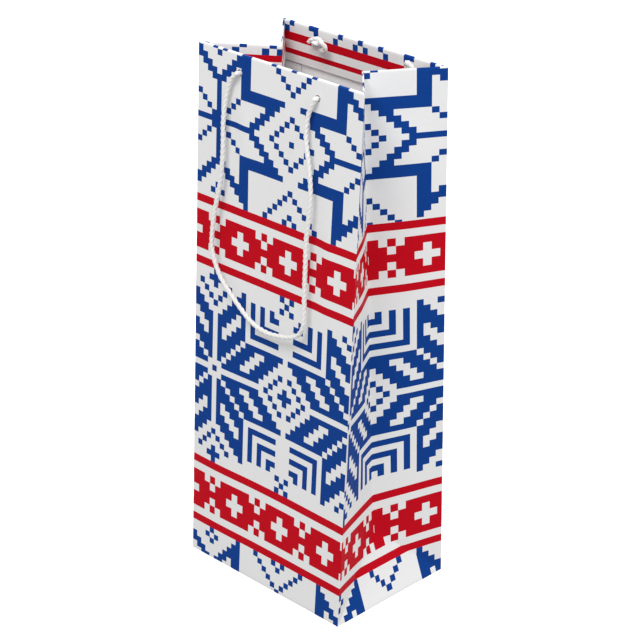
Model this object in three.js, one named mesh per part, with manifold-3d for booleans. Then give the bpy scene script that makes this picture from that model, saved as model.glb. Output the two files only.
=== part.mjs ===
// Paper wine gift bag with side gussets, a turned-in rim and two cord handles.
// Units are millimetres, +Z is up and the front wall faces -Y. The origin is the middle of the
// flat underside. Every panel between two creases of the one folded sheet is a mesh of its own.

import * as THREE from 'three';
import { mergeVertices } from 'three/addons/utils/BufferGeometryUtils.js';
import Module from 'manifold-3d';

// Overall sizes
const WIDTH = 127;
const DEPTH = 90;
const HEIGHT = 338;
const MOUTH_DEPTH = 64;
const APEX_INSET = 15.5;

// How the limp bag stands: its rim set back from its base, and its back wall to the right
const STAND_LEAN = 5.4;
const STAND_SKEW = 7;

// Stock and the clearances that keep neighbouring layers apart
const PAPER = 0.4;
const CARD = 0.8;
const BOARD = 1.0;
const LAYER_GAP = 0.3;
const CORNER_GAP = 1.6;
const CREASE_GAP = 0.5;
const FOOT_GAP = 0.1;

// Turned-in rim, its card and the glued side seam
const HEM_DEPTH = 25;
const HEM_CORNER_GAP = 5.2;
const CARD_MARGIN = 4;
const CARD_CORNER_GAP = 4.5;
const TAB_WIDTH = 15;

// Base
const FLAP_OVERLAP = 12;
const SIDE_FLAP_REACH = 40;
const FLAP_EDGE_GAP = 1.5;
const BOARD_EDGE_GAP = 3;

// Cord handles
const CORD_RADIUS = 1.5;
const CORD_SIDES = 8;
const HOLE_CLEARANCE = 0.5;
const HANDLE_SPACING = 60;
const HOLE_DROP = 11;
const SWING_STANDOFF = 2.2;
const STUB_PROUD = 0.2;
const KNOT_RADII = [7.0, 5.5, 4.5];
const CORD_STEPS = 72;

// Facets of a half gusset, which is slightly twisted
const GUSSET_COLUMNS = 4;
const GUSSET_ROWS = 14;

// Sizes that follow
const leanIn = (DEPTH - MOUTH_DEPTH) / 2;
const leanAngle = Math.asin(leanIn / HEIGHT);
const rimHeight = HEIGHT * Math.cos(leanAngle);
const gussetFlatHalf = DEPTH / 2;
const apexHeight = Math.sqrt(gussetFlatHalf ** 2 - APEX_INSET ** 2);
const mouthInset = Math.sqrt(gussetFlatHalf ** 2 - (MOUTH_DEPTH / 2) ** 2);
const creaseRise = Math.sqrt((HEIGHT - gussetFlatHalf) ** 2 - (mouthInset - APEX_INSET) ** 2);
const hemInset = PAPER + LAYER_GAP + CARD + LAYER_GAP;
const rimStack = hemInset + PAPER;
const gussetHemInset = PAPER + LAYER_GAP;
const holeRadius = CORD_RADIUS + HOLE_CLEARANCE;
const holeHeight = HEIGHT - HOLE_DROP;
const boardHeight = 3 * (PAPER + LAYER_GAP);

const paperWhite = { color: 0xe8e8e8, roughness: 0.45, metalness: 0 };
const cardGrey = { color: 0xb9b2a6, roughness: 0.85, metalness: 0 };
const cordWhite = { color: 0xf0efeb, roughness: 0.6, metalness: 0 };

const wasm = await Module();
wasm.setup();

const group = new THREE.Group();
const frontWall = new THREE.Group();
frontWall.position.set(0, -DEPTH / 2, 0);
frontWall.rotation.x = Math.PI / 2 - leanAngle;
group.add(frontWall);

const backTurn = new THREE.Group();
backTurn.rotation.z = Math.PI;
const backWall = frontWall.clone();
backTurn.add(backWall);
group.add(backTurn);

function addMesh(parent, name, geometry, look) {
  const mesh = new THREE.Mesh(geometry, new THREE.MeshStandardMaterial(look));
  mesh.name = name;
  parent.add(mesh);
  return mesh;
}

// Only positions are kept, so that faces share their vertices and the body closes.
function weld(geometry) {
  const bare = geometry.clone();
  bare.deleteAttribute('normal');
  bare.deleteAttribute('uv');
  return mergeVertices(bare, 1e-4);
}

function signedVolume(geometry) {
  const place = geometry.attributes.position;
  const corners = [new THREE.Vector3(), new THREE.Vector3(), new THREE.Vector3()];
  let volume = 0;
  for (let i = 0; i < geometry.index.count; i += 3) {
    corners.forEach((corner, k) => corner.fromBufferAttribute(place, geometry.index.getX(i + k)));
    volume += corners[0].dot(corners[1].clone().cross(corners[2])) / 6;
  }
  return volume;
}

function facingOut(geometry) {
  if (signedVolume(geometry) < 0) {
    const order = geometry.index.array;
    for (let i = 0; i < order.length; i += 3) {
      const held = order[i];
      order[i] = order[i + 1];
      order[i + 1] = held;
    }
  }
  geometry.computeVertexNormals();
  return geometry;
}

function join(geometries) {
  const solids = geometries.map((geometry) => {
    const closed = facingOut(weld(geometry));
    return new wasm.Manifold(new wasm.Mesh({
      numProp: 3,
      vertProperties: closed.attributes.position.array,
      triVerts: Uint32Array.from(closed.index.array),
    }));
  });
  const joined = solids.reduce((sum, solid) => sum.add(solid)).getMesh();
  const geometry = new THREE.BufferGeometry();
  geometry.setAttribute('position', new THREE.BufferAttribute(joined.vertProperties, 3));
  geometry.setIndex(new THREE.BufferAttribute(joined.triVerts, 1));
  return facingOut(geometry);
}

function rectangle(left, bottom, right, top) {
  const outline = new THREE.Shape();
  outline.moveTo(left, bottom);
  outline.lineTo(right, bottom);
  outline.lineTo(right, top);
  outline.lineTo(left, top);
  outline.closePath();
  return outline;
}

// A flat plate of one wall: its outline lies in the wall's plane, with x across and y up the
// wall, and its outer face is set inward from the wall's own outer face.
function wallPlate(outline, inset, thickness) {
  const plate = new THREE.ExtrudeGeometry(outline, { depth: thickness, bevelEnabled: false, curveSegments: 6 });
  plate.translate(0, 0, -inset - thickness);
  return plate;
}

function withCordHoles(outline) {
  for (const side of [-1, 1]) {
    const hole = new THREE.Path();
    hole.absarc(side * HANDLE_SPACING / 2, holeHeight, holeRadius, 0, 2 * Math.PI, true);
    outline.holes.push(hole);
  }
  return outline;
}

// Front and back: printed panel, rim card, and the hem that is turned in over the card
const walls = [['front', frontWall], ['back', backWall]];
for (const [side, wall] of walls) {
  const halfWidth = WIDTH / 2;
  const panel = withCordHoles(rectangle(-halfWidth, FOOT_GAP, halfWidth, HEIGHT));
  addMesh(wall, `${side}_panel`, wallPlate(panel, 0, PAPER), paperWhite);

  const cardHalf = halfWidth - CARD_CORNER_GAP;
  const cardLow = HEIGHT - HEM_DEPTH + CARD_MARGIN;
  const card = withCordHoles(rectangle(-cardHalf, cardLow, cardHalf, HEIGHT - LAYER_GAP));
  addMesh(wall, `${side}_rim_card`, wallPlate(card, PAPER + LAYER_GAP, CARD), cardGrey);

  const hemHalf = halfWidth - CORNER_GAP - rimStack;
  const hem = withCordHoles(rectangle(-hemHalf, HEIGHT - HEM_DEPTH, hemHalf, HEIGHT));
  addMesh(wall, `${side}_rim_hem`, wallPlate(hem, hemInset, PAPER), paperWhite);
}

// The side seam: a strip of the sheet glued inside the back panel, below the hem
const tabOuter = WIDTH / 2 - CORNER_GAP - LAYER_GAP;
const tabLow = boardHeight + BOARD + CORNER_GAP;
const tabTop = HEIGHT - HEM_DEPTH - CREASE_GAP;
const tab = rectangle(tabOuter - TAB_WIDTH, tabLow, tabOuter, tabTop);
addMesh(backWall, 'side_glue_tab', wallPlate(tab, PAPER + LAYER_GAP, PAPER), paperWhite);

// Gussets. A half gusset keeps its flat width between the corner edge and the centre crease, so
// the crease goes further in as the walls lean together, and its top ends a little below the rim.
function halfDepth(height) {
  return DEPTH / 2 - leanIn * height / rimHeight;
}

function creasePoint(out, up) {
  const inset = THREE.MathUtils.lerp(APEX_INSET, mouthInset, up);
  return new THREE.Vector3(out * (WIDTH / 2 - inset), 0, apexHeight + creaseRise * up);
}

// A point of a half gusset's outer face: across runs from the corner edge to the centre crease,
// up from the diagonal base crease to the rim. out is +1 for the right side and along is -1 for
// the front half.
function gussetPoint(out, along, across, up) {
  const height = rimHeight * up;
  const corner = new THREE.Vector3(out * WIDTH / 2, along * halfDepth(height), height);
  return corner.lerp(creasePoint(out, up), across);
}

function gussetInward(out, along, across, up) {
  const step = 1e-3;
  const here = gussetPoint(out, along, across, up);
  const right = gussetPoint(out, along, across + step, up).sub(here);
  const above = gussetPoint(out, along, across, up + step).sub(here);
  const inward = right.cross(above).normalize();
  return inward.x * out > 0 ? inward.negate() : inward;
}

// A thin box whose vertices are moved onto the ruled surface of a half gusset.
function gussetPlate(out, along, inset, acrossRange, upRange) {
  const plate = weld(new THREE.BoxGeometry(1, 1, 1, GUSSET_COLUMNS, GUSSET_ROWS, 1));
  const place = plate.attributes.position;
  for (let i = 0; i < place.count; i++) {
    const across = THREE.MathUtils.lerp(...acrossRange, place.getX(i) + 0.5);
    const up = THREE.MathUtils.lerp(...upRange, place.getY(i) + 0.5);
    const layer = inset + PAPER * (place.getZ(i) + 0.5);
    const point = gussetPoint(out, along, across, up);
    point.addScaledVector(gussetInward(out, along, across, up), layer);
    place.setXYZ(i, point.x, point.y, point.z);
  }
  return facingOut(plate);
}

// A flat three-cornered plate, its outline pulled in from its creases.
function trianglePlate(corners, inward, margin) {
  const middle = corners[0].clone().add(corners[1]).add(corners[2]).divideScalar(3);
  const along = corners[1].clone().sub(corners[0]).normalize();
  const normal = along.clone().cross(corners[2].clone().sub(corners[0])).normalize();
  if (normal.dot(inward) < 0) {
    normal.negate();
  }
  const across = normal.clone().cross(along);
  const flat = corners.map((corner) => {
    const arm = corner.clone().sub(middle);
    return new THREE.Vector2(arm.dot(along), arm.dot(across));
  });
  const sides = flat.map((point, i) => point.distanceTo(flat[(i + 1) % 3]));
  const area = Math.abs(THREE.ShapeUtils.area(flat));
  const inRadius = 2 * area / (sides[0] + sides[1] + sides[2]);
  const incentre = new THREE.Vector2();
  flat.forEach((point, i) => incentre.addScaledVector(point, sides[(i + 1) % 3]));
  incentre.divideScalar(sides[0] + sides[1] + sides[2]);
  const shrunk = flat.map((point) => point.clone().lerp(incentre, margin / inRadius));
  const plate = new THREE.ExtrudeGeometry(new THREE.Shape(shrunk), { depth: PAPER, bevelEnabled: false });
  const placing = new THREE.Matrix4().makeBasis(along, across, normal).setPosition(middle);
  return plate.applyMatrix4(placing);
}

for (const [side, out] of [['right', 1], ['left', -1]]) {
  for (const [half, along] of [['front', -1], ['rear', 1]]) {
    const acrossRange = [CORNER_GAP / gussetFlatHalf, 1 - CREASE_GAP / gussetFlatHalf];
    const upRange = [2 * CORNER_GAP / HEIGHT, 1];
    const panel = gussetPlate(out, along, 0, acrossRange, upRange);
    addMesh(group, `${side}_gusset_${half}_half`, panel, paperWhite);

    const hemAcross = [HEM_CORNER_GAP / gussetFlatHalf, 1 - CREASE_GAP / gussetFlatHalf];
    const hemUp = [1 - HEM_DEPTH / (rimHeight - apexHeight), 1];
    const hem = gussetPlate(out, along, gussetHemInset, hemAcross, hemUp);
    addMesh(group, `${side}_gusset_${half}_hem`, hem, paperWhite);
  }
  const corners = [
    new THREE.Vector3(out * WIDTH / 2, -DEPTH / 2, FOOT_GAP),
    new THREE.Vector3(out * WIDTH / 2, DEPTH / 2, FOOT_GAP),
    creasePoint(out, 0),
  ];
  const triangle = trianglePlate(corners, new THREE.Vector3(-out, 0, 0), CORNER_GAP / 2);
  addMesh(group, `${side}_gusset_base_triangle`, triangle, paperWhite);
}

// Base: the front flap lies lowest, the back flap is glued on it and the side flaps on both
function basePlate(outline, bottom, thickness) {
  const plate = new THREE.ExtrudeGeometry(outline, { depth: thickness, bevelEnabled: false });
  return plate.translate(0, 0, bottom);
}

const flapHalfWidth = WIDTH / 2 - FLAP_EDGE_GAP;
const flapEdge = DEPTH / 2 - FLAP_EDGE_GAP;
const flapReach = FLAP_OVERLAP / 2;
const layer = PAPER + LAYER_GAP;
const frontFlap = rectangle(-flapHalfWidth, -flapEdge, flapHalfWidth, flapReach);
addMesh(group, 'front_base_flap', basePlate(frontFlap, 0, PAPER), paperWhite);
const backFlap = rectangle(-flapHalfWidth, -flapReach, flapHalfWidth, flapEdge);
addMesh(group, 'back_base_flap', basePlate(backFlap, layer, PAPER), paperWhite);

for (const [side, out] of [['right', 1], ['left', -1]]) {
  const edge = flapHalfWidth - LAYER_GAP;
  const inner = edge - SIDE_FLAP_REACH;
  const cut = flapEdge - SIDE_FLAP_REACH;
  const flap = new THREE.Shape();
  flap.moveTo(out * edge, -flapEdge);
  flap.lineTo(out * edge, flapEdge);
  flap.lineTo(out * inner, cut);
  flap.lineTo(out * inner, -cut);
  flap.closePath();
  addMesh(group, `${side}_base_flap`, basePlate(flap, 2 * layer, PAPER), paperWhite);
}

const boardX = WIDTH / 2 - BOARD_EDGE_GAP;
const boardY = DEPTH / 2 - BOARD_EDGE_GAP + LAYER_GAP;
const board = rectangle(-boardX, -boardY, boardX, boardY);
addMesh(group, 'base_board', basePlate(board, boardHeight, BOARD), cardGrey);

// Handles. A loop is given in its wall's plane: across, below the holes, and off the wall. Its
// ends start on the swing axis, just off the wall, so it turns clear of the paper.
const frontLoop = [
  [-34, 12, 2.6], [-37.5, 28, 3.6], [-39.5, 50, 4], [-41, 72, 4.5], [-44, 90, 5.5],
  [-45, 102, 6], [-42, 117, 6], [-34.5, 131, 5.5], [-21, 142.5, 5], [-5, 149, 4.5],
  [10, 151.5, 4.5], [20.5, 146.5, 4.5], [26.5, 137, 4.5], [28.5, 115, 4.5], [29.8, 90, 4.5],
  [31.8, 70, 4.5], [31.2, 54, 4.5], [28.5, 43, 4.2], [26, 30, 4], [26, 12, 2.6],
];
const backLoop = [
  [-32, 14, 2.6], [-34.5, 34, 4], [-36, 64, 4.5], [-37.5, 94, 5.5], [-36, 116, 6],
  [-28, 134, 5.5], [-14, 146, 5], [0, 150.5, 4.5], [14, 146, 4.5], [28, 134, 4.5],
  [36, 116, 4.5], [37.5, 94, 4.5], [36, 64, 4.5], [34.5, 34, 4], [32, 14, 2.6],
];

function cordSection() {
  const section = new THREE.Shape();
  for (let i = 0; i < CORD_SIDES; i++) {
    const turn = 2 * Math.PI * (i + 0.5) / CORD_SIDES;
    const corner = [CORD_RADIUS * Math.cos(turn), CORD_RADIUS * Math.sin(turn)];
    if (i === 0) {
      section.moveTo(...corner);
    } else {
      section.lineTo(...corner);
    }
  }
  section.closePath();
  return section;
}

function cordTube(points) {
  const route = new THREE.CatmullRomCurve3(points, false, 'centripetal');
  return new THREE.ExtrudeGeometry(cordSection(), { steps: CORD_STEPS, extrudePath: route });
}

// A knot lies against the hem, and its stub fills the hole up to the wall's outer face.
function knotSolid(across) {
  const knot = new THREE.SphereGeometry(1, 16, 10);
  knot.scale(...KNOT_RADII);
  const depth = rimStack + LAYER_GAP + KNOT_RADII[2];
  knot.translate(across, holeHeight, -depth);
  const stub = new THREE.CylinderGeometry(CORD_RADIUS, CORD_RADIUS, depth + STUB_PROUD, CORD_SIDES);
  stub.rotateX(Math.PI / 2);
  stub.translate(across, holeHeight, (STUB_PROUD - depth) / 2);
  return join([knot, stub]);
}

for (const [[side, wall], loop] of [[walls[0], frontLoop], [walls[1], backLoop]]) {
  const ends = [-1, 1].map((hand) => (
    new THREE.Vector3(hand * HANDLE_SPACING / 2, holeHeight, SWING_STANDOFF)
  ));
  const middle = loop.map(([across, below, off]) => new THREE.Vector3(across, holeHeight - below, off));
  addMesh(wall, `${side}_handle`, cordTube([ends[0], ...middle, ends[1]]), cordWhite);
  addMesh(wall, `${side}_handle_left_knot`, knotSolid(ends[0].x), cordWhite);
  addMesh(wall, `${side}_handle_right_knot`, knotSolid(ends[1].x), cordWhite);
}

// The whole bag is sheared a little as it stands, with each piece's place put into its geometry.
const stand = new THREE.Matrix4().makeShear(0, 0, STAND_SKEW / DEPTH, 0, 0, STAND_LEAN / rimHeight);
const stoodBag = new THREE.Group();
group.updateMatrixWorld(true);
group.traverse((piece) => {
  if (piece.isMesh) {
    const geometry = piece.geometry.clone().applyMatrix4(piece.matrixWorld).applyMatrix4(stand);
    const stoodPiece = new THREE.Mesh(geometry, piece.material);
    stoodPiece.name = piece.name;
    stoodBag.add(stoodPiece);
  }
});

export default stoodBag;
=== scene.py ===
"""A paper gift bag for a bottle: one printed sheet, two rim cards, a base board and two cord handles.

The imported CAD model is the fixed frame. Lengths are in metres, +Z is up and the front wall faces -Y.
"""
import math

import bmesh
import bpy
from mathutils import Matrix, Vector


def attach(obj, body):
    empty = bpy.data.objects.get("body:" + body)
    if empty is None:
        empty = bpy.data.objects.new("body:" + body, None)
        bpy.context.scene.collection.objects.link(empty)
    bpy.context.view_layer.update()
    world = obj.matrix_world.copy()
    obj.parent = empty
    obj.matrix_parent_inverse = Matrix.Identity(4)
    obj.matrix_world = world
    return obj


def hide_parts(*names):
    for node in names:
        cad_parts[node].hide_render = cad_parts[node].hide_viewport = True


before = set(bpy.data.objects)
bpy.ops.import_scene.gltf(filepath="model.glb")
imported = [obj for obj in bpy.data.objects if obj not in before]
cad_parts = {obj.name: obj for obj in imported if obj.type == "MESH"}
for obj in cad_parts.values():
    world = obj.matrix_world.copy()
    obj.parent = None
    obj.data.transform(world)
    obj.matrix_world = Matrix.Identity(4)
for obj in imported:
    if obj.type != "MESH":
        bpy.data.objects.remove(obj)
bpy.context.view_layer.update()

bpy.ops.object.select_all(action="DESELECT")

# ---------------------------------------------------------------------------------------------
# Camera. It stands in front of the bag's right corner and looks down on it, far enough away that
# the upright creases stay nearly parallel.
CAMERA_AZIMUTH = math.radians(42.841)
CAMERA_ELEVATION = math.radians(27.422)
CAMERA_DISTANCE = 1.1333
CAMERA_LENS_MM = 105.7
CAMERA_SENSOR_MM = 36.0
AIM_HEIGHT = 0.1701
AIM_TO_THE_RIGHT = 0.0039

to_the_right = Vector((math.cos(CAMERA_AZIMUTH), math.sin(CAMERA_AZIMUTH), 0.0))
level_back = Vector((math.sin(CAMERA_AZIMUTH), -math.cos(CAMERA_AZIMUTH), 0.0))
to_camera = level_back * math.cos(CAMERA_ELEVATION) + Vector((0, 0, math.sin(CAMERA_ELEVATION)))
aim = to_the_right * AIM_TO_THE_RIGHT + Vector((0, 0, AIM_HEIGHT))
bpy.ops.object.camera_add(location=aim + to_camera * CAMERA_DISTANCE)
camera = bpy.context.object
camera.name = "studio_camera"
camera.rotation_euler = to_camera.to_track_quat("Z", "Y").to_euler()
camera.data.lens = CAMERA_LENS_MM
camera.data.sensor_width = CAMERA_SENSOR_MM
bpy.context.scene.camera = camera

# ---------------------------------------------------------------------------------------------
# Studio: a white tent of light, three soft boxes set high in front, at the right and behind the
# left, and a pale sweep for a floor. The floor glows a little, so that only a faint shadow is left
# under the bag, and it throws no light back onto the paper.
TENT_STRENGTH = 0.60
FLOOR_SIZE = 80.0
FLOOR_COLOUR = (0.86, 0.86, 0.86, 1.0)
FLOOR_ROUGHNESS = 0.9
FLOOR_GLOW = 0.42
SOFT_BOXES = (
    # place, size, watts
    ((0.25, -1.35, 2.4), 1.0, 36.0),
    ((1.75, 0.1, 2.2), 1.0, 28.5),
    ((-1.5, 1.6, 1.5), 1.2, 23.0),
)

bpy.context.scene.view_settings.view_transform = "Standard"
tent = bpy.data.worlds.new("white_tent")
tent.use_nodes = True
tent.node_tree.nodes["Background"].inputs["Color"].default_value = (1, 1, 1, 1)
tent.node_tree.nodes["Background"].inputs["Strength"].default_value = TENT_STRENGTH
bpy.context.scene.world = tent

for place, size, watts in SOFT_BOXES:
    bpy.ops.object.light_add(type="AREA", location=place)
    soft_box = bpy.context.object
    soft_box.data.size = size
    soft_box.data.energy = watts
    soft_box.rotation_euler = (Vector(place) - aim).to_track_quat("Z", "Y").to_euler()

bpy.ops.mesh.primitive_plane_add(size=FLOOR_SIZE, location=(0, 0, 0))
floor = bpy.context.object
floor.name = "studio_floor"
floor_paint = bpy.data.materials.new("studio_floor_paint")
floor_paint.use_nodes = True
floor_shader = floor_paint.node_tree.nodes["Principled BSDF"]
floor_shader.inputs["Base Color"].default_value = FLOOR_COLOUR
floor_shader.inputs["Roughness"].default_value = FLOOR_ROUGHNESS
floor_shader.inputs["Specular IOR Level"].default_value = 0.0
floor_shader.inputs["Emission Color"].default_value = (1, 1, 1, 1)
floor_shader.inputs["Emission Strength"].default_value = FLOOR_GLOW
floor.data.materials.append(floor_paint)
floor.visible_diffuse = False

# ---------------------------------------------------------------------------------------------
# Cord handles: white three-strand cord of 3 mm, one loop on each wide wall. Each end goes through
# a hole under the rim and is held by an overhand knot on the inside. The loops swing about a line
# through their two holes, and the knots stay with the bag.
BAG_WIDTH = 0.127
BAG_DEPTH = 0.090
MOUTH_DEPTH = 0.064
WALL_HEIGHT = 0.338
STAND_LEAN = 0.0054
STAND_SKEW = 0.007
HANDLE_SPACING = 0.060
HOLE_DROP = 0.011
SWING_STANDOFF = 0.0022
RIM_STACK = 0.0022

CORD_DIAMETER = 0.003
CORD_STRANDS = 3
CORD_TWIST_PITCH = 0.0105
CORD_SIDES = 24
CORD_STEP = 0.0009
CORD_END_RINGS = 4
STRAND_RADIUS_SHARE = 0.464
STRAND_VALLEY_SHARE = 0.76
CORD_COLOUR = (0.84, 0.83, 0.81, 1.0)
CORD_SHADE_COLOUR = (0.7392, 0.7304, 0.7128, 1.0)

# Across, below the holes and off the wall, from hole to hole
FRONT_LOOP = (
    (-0.0335, 0.0035, 0.0024), (-0.0362, 0.0100, 0.0026), (-0.0378, 0.0180, 0.0031),
    (-0.0385, 0.0300, 0.0036), (-0.0382, 0.0450, 0.0038), (-0.0387, 0.0616, 0.0042),
    (-0.0401, 0.0720, 0.0045), (-0.0423, 0.0835, 0.0050), (-0.0437, 0.0960, 0.0055),
    (-0.0436, 0.1085, 0.0060), (-0.0410, 0.1168, 0.0060), (-0.0366, 0.1251, 0.0058),
    (-0.0294, 0.1327, 0.0055), (-0.0223, 0.1388, 0.0052), (-0.0140, 0.1448, 0.0050),
    (-0.0068, 0.1482, 0.0047), (0.0015, 0.1495, 0.0045), (0.0109, 0.1484, 0.0045),
    (0.0195, 0.1462, 0.0045), (0.0262, 0.1425, 0.0045), (0.0297, 0.1365, 0.0045),
    (0.0303, 0.1290, 0.0045), (0.0300, 0.1147, 0.0045), (0.0300, 0.0982, 0.0045),
    (0.0299, 0.0820, 0.0045), (0.0309, 0.0696, 0.0045), (0.0319, 0.0580, 0.0045),
    (0.0310, 0.0470, 0.0043), (0.0285, 0.0347, 0.0040), (0.0263, 0.0260, 0.0036),
    (0.0253, 0.0180, 0.0030), (0.0261, 0.0095, 0.0026), (0.0283, 0.0035, 0.0024),
)
BACK_LOOP = (
    (-0.032, 0.014, 0.0026), (-0.0345, 0.034, 0.004), (-0.036, 0.064, 0.0045),
    (-0.0375, 0.094, 0.0055), (-0.036, 0.116, 0.006), (-0.028, 0.134, 0.0055),
    (-0.014, 0.146, 0.005), (0.0, 0.1505, 0.0045), (0.014, 0.146, 0.0045),
    (0.028, 0.134, 0.0045), (0.036, 0.116, 0.0045), (0.0375, 0.094, 0.0045),
    (0.036, 0.064, 0.0045), (0.0345, 0.034, 0.004), (0.032, 0.014, 0.0026),
)
# An overhand knot, seen from inside the bag: across, up and off the paper. The cord comes out of
# its hole, turns round itself, and its tail goes back under the first turn.
KNOT_ROUTE = (
    (0.0002, 0.0002, 0.0020), (0.0014, 0.0010, 0.0050), (0.0033, 0.0005, 0.0055),
    (0.0039, -0.0014, 0.0040), (0.0020, -0.0030, 0.0024), (-0.0011, -0.0032, 0.0020),
    (-0.0035, -0.0017, 0.0027), (-0.0040, 0.0010, 0.0039), (-0.0023, 0.0029, 0.0046),
    (0.0005, 0.0030, 0.0038), (0.0026, 0.0022, 0.0022), (0.0054, 0.0013, 0.0018),
    (0.0078, -0.0004, 0.0021), (0.0098, -0.0028, 0.0020),
)

CURVE_SAMPLES = 16

lean_in = (BAG_DEPTH - MOUTH_DEPTH) / 2
wall_sine = lean_in / WALL_HEIGHT
wall_cosine = math.sqrt(1 - wall_sine ** 2)
rim_height = WALL_HEIGHT * wall_cosine
hole_height = WALL_HEIGHT - HOLE_DROP


def as_it_stands(point):
    """The upright bag's point, moved as the limp bag leans back and to one side."""
    x, y, z = point
    return Vector((x + STAND_SKEW / BAG_DEPTH * y, y + STAND_LEAN / rim_height * z, z))


def on_wall(turn, across, up, off):
    """A point by the front wall (turn -1) or the back wall (turn 1): across to the right as seen
    from outside, up along the wall, and off its outer face."""
    y = turn * (BAG_DEPTH / 2 - up * wall_sine + off * wall_cosine)
    return as_it_stands((-turn * across, y, up * wall_cosine + off * wall_sine))


def smooth_route(points, step):
    """A centripetal Catmull-Rom curve through the points, cut into even steps."""
    knots = [2 * points[0] - points[1], *points, 2 * points[-1] - points[-2]]
    dense = []
    for a, b, c, d in zip(knots, knots[1:], knots[2:], knots[3:]):
        t1 = (b - a).length ** 0.5
        t2 = t1 + (c - b).length ** 0.5
        t3 = t2 + (d - c).length ** 0.5
        for k in range(CURVE_SAMPLES):
            t = t1 + (t2 - t1) * k / CURVE_SAMPLES
            ab = a.lerp(b, t / t1)
            bc = b.lerp(c, (t - t1) / (t2 - t1))
            cd = c.lerp(d, (t - t2) / (t3 - t2))
            abc = ab.lerp(bc, t / t2)
            bcd = bc.lerp(cd, (t - t1) / (t3 - t1))
            dense.append(abc.lerp(bcd, (t - t1) / (t2 - t1)))
    dense.append(points[-1].copy())
    lengths = [0.0]
    for a, b in zip(dense, dense[1:]):
        lengths.append(lengths[-1] + (b - a).length)
    count = max(2, round(lengths[-1] / step))
    route, piece = [], 0
    for k in range(count + 1):
        along = lengths[-1] * k / count
        while piece < len(dense) - 2 and lengths[piece + 1] < along:
            piece += 1
        share = (along - lengths[piece]) / (lengths[piece + 1] - lengths[piece])
        route.append(dense[piece].lerp(dense[piece + 1], share))
    return route


def cotton_cord_material():
    """Soft white cotton: fibres that lie along the strands, lighter and darker by turns."""
    material = bpy.data.materials.new("white_cotton_cord")
    material.use_nodes = True
    nodes, links = material.node_tree.nodes, material.node_tree.links
    shader = nodes["Principled BSDF"]
    shader.inputs["Specular IOR Level"].default_value = 0.2
    shader.inputs["Sheen Weight"].default_value = 0.25
    shader.inputs["Sheen Roughness"].default_value = 0.5
    along = nodes.new("ShaderNodeUVMap")
    along.uv_map = "along_the_cord"
    stretch = nodes.new("ShaderNodeMapping")
    stretch.inputs["Scale"].default_value = (42.0, 5.0, 1.0)
    fibres = nodes.new("ShaderNodeTexNoise")
    fibres.inputs["Scale"].default_value = 1.0
    fibres.inputs["Detail"].default_value = 3.0
    tone = nodes.new("ShaderNodeValToRGB")
    tone.color_ramp.elements[0].position = 0.3
    tone.color_ramp.elements[0].color = CORD_SHADE_COLOUR
    tone.color_ramp.elements[1].position = 0.62
    tone.color_ramp.elements[1].color = CORD_COLOUR
    gloss = nodes.new("ShaderNodeMapRange")
    gloss.inputs["To Min"].default_value = 0.7
    gloss.inputs["To Max"].default_value = 0.9
    relief = nodes.new("ShaderNodeBump")
    relief.inputs["Strength"].default_value = 0.5
    relief.inputs["Distance"].default_value = 0.00012
    links.new(along.outputs["UV"], stretch.inputs["Vector"])
    links.new(stretch.outputs["Vector"], fibres.inputs["Vector"])
    links.new(fibres.outputs["Fac"], tone.inputs["Fac"])
    links.new(fibres.outputs["Fac"], gloss.inputs["Value"])
    links.new(fibres.outputs["Fac"], relief.inputs["Height"])
    links.new(tone.outputs["Color"], shader.inputs["Base Color"])
    links.new(gloss.outputs["Result"], shader.inputs["Roughness"])
    links.new(relief.outputs["Normal"], shader.inputs["Normal"])
    return material


cord_cotton = cotton_cord_material()


def strand_profile(angle):
    """The cord's half width at an angle about its middle, as a share of its full radius."""
    span = 2 * math.pi / CORD_STRANDS
    aside = (angle + span / 2) % span - span / 2
    centre = 1 - STRAND_RADIUS_SHARE
    under_root = STRAND_RADIUS_SHARE ** 2 - (centre * math.sin(aside)) ** 2
    lobe = centre * math.cos(aside) + math.sqrt(max(0.0, under_root))
    return max(STRAND_VALLEY_SHARE, lobe)


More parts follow.
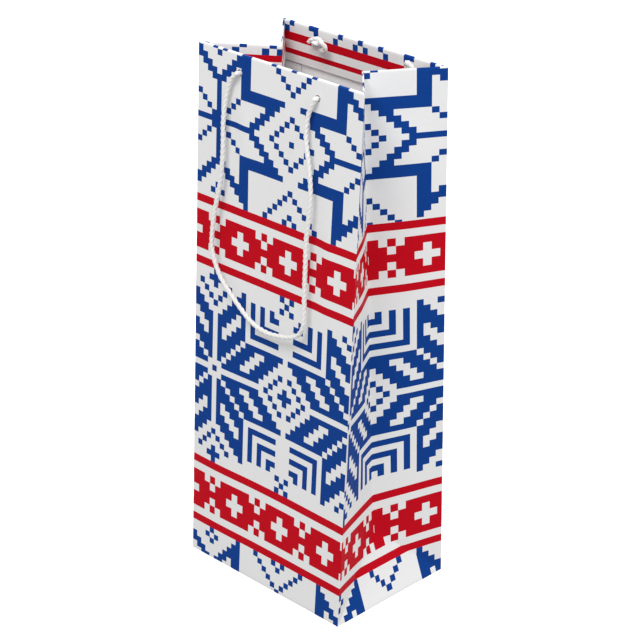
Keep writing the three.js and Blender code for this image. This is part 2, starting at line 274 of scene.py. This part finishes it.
def twisted_cord(name, route, material):
    """A mesh tube of laid strands along the route, with round ends. Its UV map runs round the
    strands and along the cord."""
    radius = CORD_DIAMETER / 2
    tangents = []
    for k in range(len(route)):
        before, after = route[max(0, k - 1)], route[min(len(route) - 1, k + 1)]
        tangents.append((after - before).normalized())
    across = tangents[0].orthogonal().normalized()
    rings = []
    cap = [math.pi / 2 * k / (CORD_END_RINGS + 1) for k in range(1, CORD_END_RINGS + 1)]
    for turn in reversed(cap):
        rings.append((route[0] - tangents[0] * radius * math.sin(turn), 0, math.cos(turn)))
    rings += [(point, k, 1.0) for k, point in enumerate(route)]
    for turn in cap:
        rings.append((route[-1] + tangents[-1] * radius * math.sin(turn), len(route) - 1, math.cos(turn)))
    mesh = bmesh.new()
    uv_layer = mesh.loops.layers.uv.new("along_the_cord")
    sides = [across]
    for tangent in tangents[1:]:
        across = (across - tangent * across.dot(tangent)).normalized()
        sides.append(across)
    loops, along = [], 0.0
    for k, (centre, place, scale) in enumerate(rings):
        if k:
            along += (centre - rings[k - 1][0]).length
        u_axis = sides[place]
        v_axis = tangents[place].cross(u_axis)
        twist = 2 * math.pi * along / CORD_TWIST_PITCH
        ring = []
        for i in range(CORD_SIDES):
            angle = 2 * math.pi * i / CORD_SIDES
            size = radius * scale * strand_profile(angle - twist)
            outward = u_axis * math.cos(angle) + v_axis * math.sin(angle)
            ring.append(mesh.verts.new(centre + outward * size))
        loops.append((ring, twist, along))
    for (low, low_twist, low_along), (high, high_twist, high_along) in zip(loops, loops[1:]):
        for i in range(CORD_SIDES):
            j = (i + 1) % CORD_SIDES
            face = mesh.faces.new((low[i], low[j], high[j], high[i]))
            corners = (
                (i, low_twist, low_along), (i + 1, low_twist, low_along),
                (i + 1, high_twist, high_along), (i, high_twist, high_along),
            )
            for loop, (side, twist, distance) in zip(face.loops, corners):
                around = side / CORD_SIDES - twist / (2 * math.pi)
                loop[uv_layer].uv = (around, distance / CORD_TWIST_PITCH)
    mesh.faces.new(list(reversed(loops[0][0])))
    mesh.faces.new(loops[-1][0])
    data = bpy.data.meshes.new(name)
    mesh.to_mesh(data)
    mesh.free()
    data.shade_smooth()
    cord = bpy.data.objects.new(name, data)
    bpy.context.scene.collection.objects.link(cord)
    cord.data.materials.append(material)
    return cord


# How each knot lies: its turn in degrees, and how far across and up from its hole it was tied
KNOT_LAYS = {
    ("front", "left"): (25, -0.002, 0.0005),
    ("front", "right"): (-20, 0.003, -0.001),
    ("back", "left"): (62, -0.0118, 0.0058),
    ("back", "right"): (14, -0.0040, 0.0038),
}
KNOT_OFF_PAPER = 0.0018

for side, turn, loop in (("front", -1, FRONT_LOOP), ("back", 1, BACK_LOOP)):
    for hand_name, hand in (("left", -1), ("right", 1)):
        name = f"{side}_handle_{hand_name}_knot"
        lay, tied_across, tied_up = KNOT_LAYS[side, hand_name]
        lay_turn = Matrix.Rotation(math.radians(lay), 2)
        hole = hand * HANDLE_SPACING / 2
        points = [
            on_wall(turn, hole, hole_height, SWING_STANDOFF),
            on_wall(turn, hole, hole_height, -RIM_STACK),
        ]
        for across, up, inside in KNOT_ROUTE:
            across, up = lay_turn @ Vector((hand * across, up))
            points.append(on_wall(
                turn, hole + tied_across + across, hole_height + tied_up + up,
                -RIM_STACK - KNOT_OFF_PAPER - inside,
            ))
        knot = twisted_cord(f"{name}_cord", smooth_route(points, CORD_STEP / 2), cord_cotton)
        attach(knot, "bag")
        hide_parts(name)

    ends = [on_wall(turn, hand * HANDLE_SPACING / 2, hole_height, SWING_STANDOFF) for hand in (-1, 1)]
    middle = [on_wall(turn, across, hole_height - below, off) for across, below, off in loop]
    route = smooth_route([ends[0], *middle, ends[1]], CORD_STEP)
    handle = twisted_cord(f"{side}_handle_cord", route, cord_cotton)
    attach(handle, f"{side}_handle")
    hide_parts(f"{side}_handle")

# ---------------------------------------------------------------------------------------------
# The bag: one sheet of white coated paper, printed on its outer side, creased and folded. It is
# laid out flat first, as the maker cuts and prints it, from the glue tab to the back panel and
# from the base flaps to the turned-in hem. Then every point is folded to its place.
PAPER_THICKNESS = 0.00035
TAB_WIDTH = 0.015
TAB_BACK = 0.0006
TAB_LOW = 0.0047
HEM_DEPTH = 0.025
GUSSET_APEX_INSET = 0.0155
GUSSET_HEM_STACK = 0.0011
HEM_FOLD_REACH = 0.001
HEM_FOLD_STEPS = 6
CREASE_HALF_WIDTH = 0.0004
FLAP_EDGE_GAP = 0.0015
SEAM_GAP = 0.0006
HOLE_DIAMETER = 0.004
PUNCH_SIDES = 24
PUNCH_OUT = 0.004
PUNCH_IN = 0.007
WALL_FLAP_REACH = 0.051
SIDE_FLAP_REACH = 0.040
FLAP_LAYER = 0.0007
FLAP_STEP_RUN = 0.004
HELD_AT_CREASE = 0.008
HELD_AT_RIM = 0.020
SMOOTH_BELOW = math.radians(28)
SAME_LINE = 0.00022
SAME_POINT = 1e-6
SAME_PLACE = 1e-7

# The print: the size of a knitted cell, the cells from star to star, where a ribbon's motif is
# divided, in cells from its middle, and a height at which there are stars or a ribbon
WALL_CELL = 0.00384
GUSSET_CELL = 0.00412
STAR_PERIOD = 30
RIBBON_LINES = (-1.8, -0.6, 0.6, 1.8)
STAR_HEIGHT = 0.300
RIBBON_HEIGHT = 0.225

# The faces of the paper, as the places of their materials on the sheet
PAPER, BLUE, RED, INSIDE = range(4)
PAPER_COLOUR = (0.80, 0.80, 0.80, 1.0)
BLUE_INK = (0.0062, 0.048, 0.250, 1.0)
RED_INK = (0.52, 0.0040, 0.0130, 1.0)
# The inner face is the sheet's own unprinted back. Its colour is set lighter than the paper's as painted
# light, which brightens the shaded inside of the bag.
INSIDE_COLOUR_PAINTED_LIGHTER = (0.90, 0.90, 0.905, 1.0)

mouth_inset = math.sqrt((BAG_DEPTH / 2) ** 2 - (MOUTH_DEPTH / 2) ** 2)
apex_height = math.sqrt((BAG_DEPTH / 2) ** 2 - GUSSET_APEX_INSET ** 2)
crease_rise = math.sqrt((WALL_HEIGHT - BAG_DEPTH / 2) ** 2 - (mouth_inset - GUSSET_APEX_INSET) ** 2)


# The printed design is a knitted pattern, drawn in square cells. x counts the columns from the
# middle of a star, and y the rows below it. dx and dy count back from the corner of the repeat.
def star_row(x, y):
    """The band of eight-pointed stars, blue on white."""
    y = abs(y)
    if x == 0 and y == 0 or x + y == 4:
        return BLUE
    if x + y in (8, 9) and y <= 4 or y in (5, 6) and x <= 10 and x + y >= 8 or y == 0 and x >= 8:
        return BLUE
    dx, dy = 15 - x, 15 - y
    if dx + dy in (8, 9) and dx <= 4 or dx in (5, 6) and dy <= 10 and dx + dy >= 8:
        return BLUE
    if dx == 0 and dy >= 8:
        return BLUE
    if dx + abs(dy - 3) == 1 or max(dx, y) <= 1 or dx == y and 2 <= y <= 4:
        return BLUE
    return BLUE if x + dy in (3, 7) else PAPER


def lattice_row(x, y):
    """The band of nested squares and diamonds, white on blue."""
    y = abs(y)
    if x <= 8 and y >= 7:
        v = abs(y - 15)
        if (x, v) in ((0, 0), (1, 1)):
            return BLUE
        nested = max(x, v) in (3, 5, 7) and min(x, v) >= 2 and y <= 13
        return BLUE if nested else PAPER
    dx = 15 - x
    if y == 16:
        return BLUE if dx == 0 else PAPER
    if max(dx, y) <= 1:
        return BLUE if dx == y == 0 else PAPER
    if dx == y and y <= 6:
        return PAPER
    along, aside = (x, y) if dx > y else (abs(15 - y), dx)
    away = along + aside
    if away <= 1 or away == 4 and along > 0:
        return BLUE
    if away <= 6 or aside == 0 or away in (10, 11) and 2 <= aside <= 5:
        return PAPER
    return BLUE


def ribbon_row(x, y):
    """A red ribbon with crosses and checks, nine rows high. x is not rounded here."""
    if y in (1, 7):
        return PAPER
    if y in (0, 8):
        return RED
    motif = round(x / 5)
    cell = round((x - 5 * motif) / 1.2)
    field = y - 4
    if motif % 2 == 0:
        white = abs(cell) + abs(field) <= 1
    else:
        white = abs(cell) == 1 and abs(field) == 2 or cell == 0 and abs(field) == 1
    return PAPER if white else RED


def plain_red(x, y):
    return RED


def plain_white(x, y):
    return PAPER


# Bands from the base flaps up to the hem's cut edge: lower and upper end, painter, and the rows
# at those two ends. The gussets are printed a little out of step with the walls.
WALL_BANDS = (
    (-WALL_FLAP_REACH, 0.022, star_row, 5.25, -13.5),
    (0.022, 0.070, ribbon_row, 8.5, -0.5),
    (0.070, 0.2013, lattice_row, 16.5, -16.5),
    (0.2013, 0.2458, ribbon_row, 8.5, -0.5),
    (0.2458, WALL_HEIGHT, star_row, 13.5, -11.75),
    (WALL_HEIGHT, WALL_HEIGHT + 0.0069, star_row, -11.75, -13.5),
    (WALL_HEIGHT + 0.0069, WALL_HEIGHT + 0.0120, plain_red, 0.5, -0.5),
    (WALL_HEIGHT + 0.0120, WALL_HEIGHT + 0.0172, plain_white, 0.5, -0.5),
    (WALL_HEIGHT + 0.0172, WALL_HEIGHT + 0.0204, plain_red, 0.5, -0.5),
    (WALL_HEIGHT + 0.0204, WALL_HEIGHT + HEM_DEPTH, plain_white, 0.5, -0.5),
)
GUSSET_BANDS = (
    (-WALL_FLAP_REACH, 0.022, star_row, 3.1, -13.5),
    (0.022, 0.070, ribbon_row, 8.5, -0.5),
    (0.070, 0.2025, lattice_row, 16.48, -16.15),
    (0.2025, 0.2470, ribbon_row, 8.5, -0.5),
    (0.2470, WALL_HEIGHT, star_row, 13.86, -10.73),
    (WALL_HEIGHT, WALL_HEIGHT + 0.0060, star_row, -12.0, -13.5),
    (WALL_HEIGHT + 0.0060, WALL_HEIGHT + 0.0100, plain_red, 0.5, -0.5),
    (WALL_HEIGHT + 0.0100, WALL_HEIGHT + 0.0138, plain_white, 0.5, -0.5),
    (WALL_HEIGHT + 0.0138, WALL_HEIGHT + 0.0172, plain_red, 0.5, -0.5),
    (WALL_HEIGHT + 0.0172, WALL_HEIGHT + HEM_DEPTH, plain_white, 0.5, -0.5),
)

# Panels from left to right on the flat sheet, and their widths
PANELS = (
    ("tab", TAB_WIDTH),
    ("left_gusset", BAG_DEPTH),
    ("front", BAG_WIDTH),
    ("right_gusset", BAG_DEPTH),
    ("back", BAG_WIDTH - SEAM_GAP),
)
panel_start = {}
flat_width = 0.0
for panel, width in PANELS:
    panel_start[panel] = flat_width
    flat_width += width
GUSSETS = ("left_gusset", "right_gusset")

# The design on each part of the sheet: the width of a cell, and where a star's middle lies from
# the panel's middle. The front half of the right gusset is printed on its own, with one design
# for its ribbons and one for the rest, so its print doesn't meet the rear half's at the crease.
DESIGNS = {
    "tab": (WALL_CELL, 0.0),
    "left_gusset": (GUSSET_CELL, 0.004),
    "front": (WALL_CELL, 0.0116),
    "right_gusset": (GUSSET_CELL, -0.0071),
    "back": (WALL_CELL, 0.0),
}
FRONT_HALF_DESIGN = (0.0034, 0.0072)
FRONT_HALF_RIBBON = (0.00295, 0.0070)

# Soft places in the paper: panel, across and up from the middle of the base edge, half width,
# half height, and how far the paper stands out there
SOFT_PLACES = (
    ("front", -0.034, 0.296, 0.0040, 0.022, -0.0007),
    ("front", -0.024, 0.290, 0.0045, 0.026, 0.0006),
    ("front", 0.033, 0.232, 0.0040, 0.024, -0.0007),
    ("front", 0.042, 0.236, 0.0045, 0.026, 0.0006),
    ("front", 0.006, 0.120, 0.030, 0.070, -0.0012),
    ("front", -0.040, 0.100, 0.014, 0.060, 0.0006),
    ("back", 0.010, 0.200, 0.028, 0.080, -0.0012),
    ("back", -0.030, 0.110, 0.016, 0.050, 0.0008),
    ("back", 0.034, 0.286, 0.0045, 0.026, -0.0006),
    ("left_gusset", -0.022, 0.180, 0.010, 0.090, 0.0010),
    ("left_gusset", 0.022, 0.170, 0.010, 0.090, 0.0010),
    ("right_gusset", -0.022, 0.190, 0.010, 0.090, 0.0008),
    ("right_gusset", 0.022, 0.175, 0.010, 0.090, 0.0010),
)


def smooth_step(share):
    share = min(1.0, max(0.0, share))
    return share * share * (3 - 2 * share)


def standing_out(panel, across, up, width):
    """How far a panel's paper stands out of its plane; nothing at its creases, rim and base."""
    edge = width / 2 - abs(across)
    if panel in GUSSETS:
        edge = min(edge, abs(across))
    held = smooth_step(edge / HELD_AT_CREASE)
    held *= smooth_step((WALL_HEIGHT - HEM_DEPTH - up) / HELD_AT_RIM) * smooth_step(up / HELD_AT_RIM)
    out = 0.0
    for where, p, q, half_width, half_height, depth in SOFT_PLACES:
        if where == panel:
            away = ((across - p) / half_width) ** 2 + ((up - q) / half_height) ** 2
            out += depth * math.exp(-away / 2)
    return out * held


def wall_point(turn, across, up, inset=0.0):
    """The upright front (turn -1) or back (turn 1) wall; inset is into the bag."""
    return Vector((-turn * across, turn * (BAG_DEPTH / 2 - up * wall_sine - inset), up * wall_cosine))


def gusset_point(out, along, across, up, inset=0.0):
    """The upright right (out 1) or left (out -1) gusset. across is 0 on its middle crease, and
    along is -1 for its front half and 1 for its rear half."""
    half = BAG_DEPTH / 2
    from_edge = half - abs(across)
    if up <= from_edge:
        share = max(up, 0.0) / half
        x = BAG_WIDTH / 2 - share * GUSSET_APEX_INSET
        point = Vector((x, along * abs(across), share * apex_height))
    else:
        a = from_edge / half
        t = (up - half * a) / (WALL_HEIGHT - half * a)
        corner = Vector((BAG_WIDTH / 2, along * (half - lean_in * t), rim_height * t))
        crease_inset = GUSSET_APEX_INSET + (mouth_inset - GUSSET_APEX_INSET) * t
        crease = Vector((BAG_WIDTH / 2 - crease_inset, 0, apex_height + crease_rise * t))
        side = crease - corner
        outward = Vector((abs(side.y), -along * abs(side.x), 0)).normalized()
        point = corner + side * a
        if abs(across) < SAME_PLACE:
            outward = Vector((1 / max(outward.x, 0.1), 0, 0))
        point -= outward * inset
    point.x *= out
    return point


def inner_layer(panel, across, up):
    """The turned-in hem's printed face, with its corners mitred where two hems meet."""
    outward_x = MOUTH_DEPTH / BAG_DEPTH
    outward_y = 2 * mouth_inset / BAG_DEPTH
    wall_mitre = (GUSSET_HEM_STACK + RIM_STACK * outward_y) / outward_x
    gusset_mitre = wall_mitre * outward_y + RIM_STACK * outward_x
    if panel in GUSSETS:
        out = 1 if panel == "right_gusset" else -1
        along = math.copysign(1, across) * out
        if BAG_DEPTH / 2 - abs(across) > gusset_mitre:
            return gusset_point(out, along, across, up, GUSSET_HEM_STACK)
        turn, across = along, -along * out * BAG_WIDTH / 2
    else:
        turn = -1 if panel == "front" else 1
    limit = BAG_WIDTH / 2 - wall_mitre
    return wall_point(turn, max(-limit, min(limit, across)), up, RIM_STACK)


def outer_layer(panel, across, up, width):
    out = standing_out(panel, across, up, width)
    if panel in GUSSETS:
        side = 1 if panel == "right_gusset" else -1
        return gusset_point(side, math.copysign(1, across) * side, across, up, -out)
    return wall_point(-1 if panel == "front" else 1, across, up, -out)


def base_flap(panel, across, down):
    """A flap under the bag, folded in along the base edge; each lies over the one before."""
    lift = {"front": 0, "back": 1}.get(panel, 2) * FLAP_LAYER * smooth_step(down / FLAP_STEP_RUN)
    if panel == "front":
        return Vector((across, -BAG_DEPTH / 2 + down, lift))
    if panel == "back":
        return Vector((-across, BAG_DEPTH / 2 - down, lift))
    out = 1 if panel == "right_gusset" else -1
    return Vector((out * (BAG_WIDTH / 2 - down), out * across, lift))


def folded(panel, across, up, width):
    """Where a point of the flat sheet is on the upright bag."""
    if panel == "tab":
        from_fold = width / 2 - across
        back = TAB_BACK * smooth_step(from_fold / (2 * SEAM_GAP))
        return wall_point(1, BAG_WIDTH / 2 - from_fold, up, back)
    if up < 0:
        return base_flap(panel, across, -up)
    into_fold = (up - WALL_HEIGHT) / HEM_FOLD_REACH
    if into_fold <= -1:
        return outer_layer(panel, across, up, width)
    if into_fold >= 1:
        return inner_layer(panel, across, 2 * WALL_HEIGHT - up)
    low = WALL_HEIGHT - HEM_FOLD_REACH
    turned = math.pi / 2 * (into_fold + 1)
    outer = outer_layer(panel, across, low, width)
    inner = inner_layer(panel, across, low)
    rise = Vector((0, 0, HEM_FOLD_REACH * math.sin(turned)))
    return outer.lerp(inner, (1 - math.cos(turned)) / 2) + rise


def grid_lines(fixed, wished):
    """The fixed lines, and those wished for that don't crowd them."""
    lines = sorted(fixed)
    for line in wished:
        if lines[0] < line < lines[-1] and min(abs(line - other) for other in lines) > SAME_LINE:
            lines = sorted([*lines, line])
    return lines


def bands_of(panel):
    return GUSSET_BANDS if panel in GUSSETS else WALL_BANDS


def design_at(panel, across, up):
    """The cell width and the place of a star's middle at a spot of a panel."""
    if panel != "right_gusset" or across > 0:
        return DESIGNS[panel]
    for low, high, painter, *rows in GUSSET_BANDS:
        if low < up < high and painter is ribbon_row:
            return FRONT_HALF_RIBBON
    return FRONT_HALF_DESIGN


def columns_of(panel, width):
    """Where the flat panel is divided from left to right, from its middle."""
    half = width / 2
    fixed = {-half, half, -half + CREASE_HALF_WIDTH, half - CREASE_HALF_WIDTH}
    fixed |= {-half + FLAP_EDGE_GAP, half - FLAP_EDGE_GAP}
    if panel in GUSSETS:
        fixed |= {-CREASE_HALF_WIDTH, 0.0, CREASE_HALF_WIDTH}
    wished = []
    for n in range(-2 * STAR_PERIOD, 2 * STAR_PERIOD):
        for up in (STAR_HEIGHT, RIBBON_HEIGHT):
            for side in (-1, 1):
                cell, star = design_at(panel, side, up)
                lines = [star + (n + 0.5) * cell]
                if up == RIBBON_HEIGHT:
                    lines = [star + (5 * n + part) * cell for part in RIBBON_LINES]
                wished += [line for line in lines if line * side > 0]
    return grid_lines(fixed, wished)


def rows_of_sheet():
    """Where the flat sheet is divided from the base flaps to the hem."""
    every_band = WALL_BANDS + GUSSET_BANDS
    fixed = {low for low, *rest in every_band} | {WALL_HEIGHT + HEM_DEPTH, 0.0, -SIDE_FLAP_REACH}
    fixed |= {-CREASE_HALF_WIDTH, CREASE_HALF_WIDTH}
    for step in range(HEM_FOLD_STEPS + 1):
        fixed.add(WALL_HEIGHT - HEM_FOLD_REACH + 2 * HEM_FOLD_REACH * step / HEM_FOLD_STEPS)
    wished = []
    for low, high, painter, low_row, high_row in every_band:
        for row in range(math.ceil(high_row), math.floor(low_row) + 1):
            edge = row + 0.5
            wished.append(low + (high - low) * (low_row - edge) / (low_row - high_row))
    return grid_lines(fixed, wished)


def ink_at(panel, across, up):
    """The ink on a spot of the flat sheet."""
    low, high, painter, low_row, high_row = next(band for band in bands_of(panel) if up < band[1])
    cell, star = design_at(panel, across, up)
    row = round(low_row + (high_row - low_row) * (up - low) / (high - low))
    x = (across - star) / cell
    if painter is not ribbon_row:
        x = round(x) % STAR_PERIOD
        x = min(x, STAR_PERIOD - x)
    return painter(x, row)


def flat_sheet():
    """The whole sheet laid flat, divided along its print and its creases, with its inks."""
    sheet = bmesh.new()
    rows = rows_of_sheet()
    made = {}

    def corner(panel, x, y):
        apart = panel if y < -SAME_PLACE else ""
        key = (apart, round(x / SAME_PLACE), round(y / SAME_PLACE))
        if key not in made:
            made[key] = sheet.verts.new((x, y, 0))
        return made[key]

    for panel, width in PANELS:
        middle = panel_start[panel] + width / 2
        columns = columns_of(panel, width)
        flap_half = width / 2 - FLAP_EDGE_GAP
        reach = SIDE_FLAP_REACH if panel in GUSSETS else WALL_FLAP_REACH
        for left, right in zip(columns, columns[1:]):
            across = (left + right) / 2
            for low, high in zip(rows, rows[1:]):
                up = (low + high) / 2
                if panel == "tab" and not TAB_LOW < up < WALL_HEIGHT - HEM_DEPTH - CREASE_HALF_WIDTH:
                    continue
                if up < 0 and (abs(across) > flap_half or up < -reach):
                    continue
                face = sheet.faces.new((
                    corner(panel, middle + left, low), corner(panel, middle + right, low),
                    corner(panel, middle + right, high), corner(panel, middle + left, high),
                ))
                face.material_index = PAPER if panel == "tab" else ink_at(panel, across, up)
    return sheet


def cut_on_slant(sheet, panel, hand, clear):
    """Divides a gusset along the slanted crease that starts at one of its base corners, or cuts
    its flap off along the same slant below the base."""
    middle = panel_start[panel] + BAG_DEPTH / 2
    start = BAG_DEPTH / 2 - (FLAP_EDGE_GAP if clear else 0)
    faces = []
    for face in sheet.faces:
        centre = face.calc_center_median()
        beside = (centre.x - middle) * hand
        in_reach = centre.y < BAG_DEPTH / 2 + GUSSET_CELL
        if 0 < beside < BAG_DEPTH / 2 and (centre.y < 0) == clear and in_reach:
            faces.append(face)
    parts = dict.fromkeys(faces)
    for face in faces:
        parts.update(dict.fromkeys([*face.verts, *face.edges]))
    bmesh.ops.bisect_plane(
        sheet, geom=list(parts), dist=SAME_POINT, plane_co=(middle + hand * start, 0, 0),
        plane_no=(hand, -1 if clear else 1, 0), clear_outer=clear,
    )


def fold_up(sheet):
    """Moves every point of the flat sheet to its place on the standing bag."""
    bounds = [(panel, panel_start[panel], panel_start[panel] + width) for panel, width in PANELS]
    widths = dict(PANELS)
    creases = [left for panel, left, right in bounds[2:]]
    creases += [panel_start[gusset] + BAG_DEPTH / 2 for gusset in GUSSETS]

    def place(x, y):
        for panel, left, right in bounds:
            if x < right - SAME_PLACE or panel == "back":
                break
        return folded(panel, x - (left + right) / 2, y, widths[panel])

    def across_creases(x, y):
        at_crease = any(abs(x - crease) < SAME_PLACE for crease in creases)
        here = place(x, y)
        if not at_crease or y < 0 or y > WALL_HEIGHT - HEM_FOLD_REACH:
            return here
        left, right = place(x - CREASE_HALF_WIDTH, y), place(x + CREASE_HALF_WIDTH, y)
        return here * 0.5 + (left + right) * 0.25

    places = []
    for vertex in sheet.verts:
        x, y, _ = vertex.co
        point = across_creases(x, y)
        if abs(y) < SAME_PLACE and any(face.calc_center_median().y < 0 for face in vertex.link_faces):
            below, above = place(x, -CREASE_HALF_WIDTH), place(x, CREASE_HALF_WIDTH)
            point = point * 0.5 + (below + above) * 0.25
        places.append((vertex, as_it_stands(point)))
    for vertex, point in places:
        vertex.co = point


sheet = flat_sheet()
for gusset in GUSSETS:
    for hand in (-1, 1):
        cut_on_slant(sheet, gusset, hand, clear=False)
        cut_on_slant(sheet, gusset, hand, clear=True)
flat_area = sum(face.calc_area() for face in sheet.faces)
fold_up(sheet)
bmesh.ops.remove_doubles(sheet, verts=list(sheet.verts), dist=SAME_POINT)
bmesh.ops.dissolve_degenerate(sheet, edges=list(sheet.edges), dist=SAME_POINT)
sheet_mesh = bpy.data.meshes.new("printed_paper_bag")
sheet.to_mesh(sheet_mesh)
sheet.free()
bag = bpy.data.objects.new("printed_paper_bag", sheet_mesh)
bpy.context.scene.collection.objects.link(bag)


def paper_material(name, colour, roughness, relief_height):
    """Paper under a thin coat or ink: a fine tooth, and a slow change in gloss."""
    material = bpy.data.materials.new(name)
    material.use_nodes = True
    nodes, links = material.node_tree.nodes, material.node_tree.links
    shader = nodes["Principled BSDF"]
    shader.inputs["Base Color"].default_value = colour
    shader.inputs["Specular IOR Level"].default_value = 0.02
    place = nodes.new("ShaderNodeTexCoord")
    tooth = nodes.new("ShaderNodeTexNoise")
    tooth.inputs["Scale"].default_value = 2600.0
    tooth.inputs["Detail"].default_value = 4.0
    clouds = nodes.new("ShaderNodeTexNoise")
    clouds.inputs["Scale"].default_value = 90.0
    clouds.inputs["Detail"].default_value = 3.0
    gloss = nodes.new("ShaderNodeMapRange")
    gloss.inputs["From Min"].default_value = 0.3
    gloss.inputs["From Max"].default_value = 0.7
    gloss.inputs["To Min"].default_value = roughness - 0.06
    gloss.inputs["To Max"].default_value = roughness + 0.06
    relief = nodes.new("ShaderNodeBump")
    relief.inputs["Strength"].default_value = 0.35
    relief.inputs["Distance"].default_value = relief_height
    links.new(place.outputs["Object"], tooth.inputs["Vector"])
    links.new(place.outputs["Object"], clouds.inputs["Vector"])
    links.new(clouds.outputs["Fac"], gloss.inputs["Value"])
    links.new(gloss.outputs["Result"], shader.inputs["Roughness"])
    links.new(tooth.outputs["Fac"], relief.inputs["Height"])
    links.new(relief.outputs["Normal"], shader.inputs["Normal"])
    return material


bag.data.materials.append(paper_material("coated_paper", PAPER_COLOUR, 0.5, 0.00003))
bag.data.materials.append(paper_material("blue_ink", BLUE_INK, 0.45, 0.00002))
bag.data.materials.append(paper_material("red_ink", RED_INK, 0.45, 0.00002))
# The inner face's material is lighter than the coated paper. This is painted light for the shaded inside
# of the bag.
bag.data.materials.append(paper_material("uncoated_inside_painted_lighter", INSIDE_COLOUR_PAINTED_LIGHTER, 0.75, 0.00005))

thickness = bag.modifiers.new("paper_thickness", "SOLIDIFY")
thickness.thickness = PAPER_THICKNESS
thickness.offset = -1
thickness.material_offset = INSIDE
thickness.material_offset_rim = INSIDE

# The cord holes are punched through each wide wall and its hem, all four by one tool.
punches = []
for turn in (-1, 1):
    for hand in (-1, 1):
        outside = on_wall(turn, hand * HANDLE_SPACING / 2, hole_height, PUNCH_OUT)
        inside = on_wall(turn, hand * HANDLE_SPACING / 2, hole_height, -PUNCH_IN)
        bpy.ops.mesh.primitive_cylinder_add(
            vertices=PUNCH_SIDES, radius=HOLE_DIAMETER / 2, depth=PUNCH_OUT + PUNCH_IN,
            location=(outside + inside) / 2,
            rotation=(outside - inside).to_track_quat("Z", "Y").to_euler(),
        )
        punches.append(bpy.context.object)
for punch in punches:
    punch.select_set(True)
bpy.ops.object.join()
punching_tool = bpy.context.object
holes = bag.modifiers.new("cord_holes", "BOOLEAN")
holes.operation = "DIFFERENCE"
holes.solver = "MANIFOLD"
holes.object = punching_tool

bpy.context.view_layer.objects.active = bag
bag.select_set(True)
bpy.ops.object.modifier_apply(modifier="paper_thickness")
bpy.ops.object.modifier_apply(modifier="cord_holes")
bpy.data.objects.remove(punching_tool)
bpy.ops.object.shade_smooth_by_angle(angle=SMOOTH_BELOW)
bag.select_set(False)

PARTS_OF_THE_SHEET = ("_panel", "_half", "_triangle", "_hem", "_flap", "_tab")
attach(bag, "bag")
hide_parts(*[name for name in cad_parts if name.endswith(PARTS_OF_THE_SHEET)])

# ---------------------------------------------------------------------------------------------
# Stiffeners: two rim cards between the wall and the hem, and the loose board on the base flaps,
# all die-cut from grey millboard pressed from waste paper. Their CAD shapes are kept.
BOARD_LIGHT = (0.42, 0.39, 0.34, 1.0)
BOARD_DARK = (0.27, 0.25, 0.22, 1.0)


def greyboard_material():
    """Pressed waste paper: cloudy grey with darker flecks and a rough face."""
    material = bpy.data.materials.new("grey_millboard")
    material.use_nodes = True
    nodes, links = material.node_tree.nodes, material.node_tree.links
    shader = nodes["Principled BSDF"]
    shader.inputs["Specular IOR Level"].default_value = 0.15
    shader.inputs["Roughness"].default_value = 0.9
    place = nodes.new("ShaderNodeTexCoord")
    clouds = nodes.new("ShaderNodeTexNoise")
    clouds.inputs["Scale"].default_value = 220.0
    clouds.inputs["Detail"].default_value = 6.0
    tone = nodes.new("ShaderNodeValToRGB")
    tone.color_ramp.elements[0].position = 0.34
    tone.color_ramp.elements[0].color = BOARD_DARK
    tone.color_ramp.elements[1].position = 0.58
    tone.color_ramp.elements[1].color = BOARD_LIGHT
    relief = nodes.new("ShaderNodeBump")
    relief.inputs["Strength"].default_value = 0.5
    relief.inputs["Distance"].default_value = 0.0001
    links.new(place.outputs["Object"], clouds.inputs["Vector"])
    links.new(clouds.outputs["Fac"], tone.inputs["Fac"])
    links.new(tone.outputs["Color"], shader.inputs["Base Color"])
    links.new(clouds.outputs["Fac"], relief.inputs["Height"])
    links.new(relief.outputs["Normal"], shader.inputs["Normal"])
    return material


greyboard = greyboard_material()
for name in ("base_board", "front_rim_card", "back_rim_card"):
    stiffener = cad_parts[name]
    stiffener.data.materials.clear()
    stiffener.data.materials.append(greyboard)

# ---------------------------------------------------------------------------------------------
# The scene is brought up to date at the end.
bpy.context.view_layer.update()
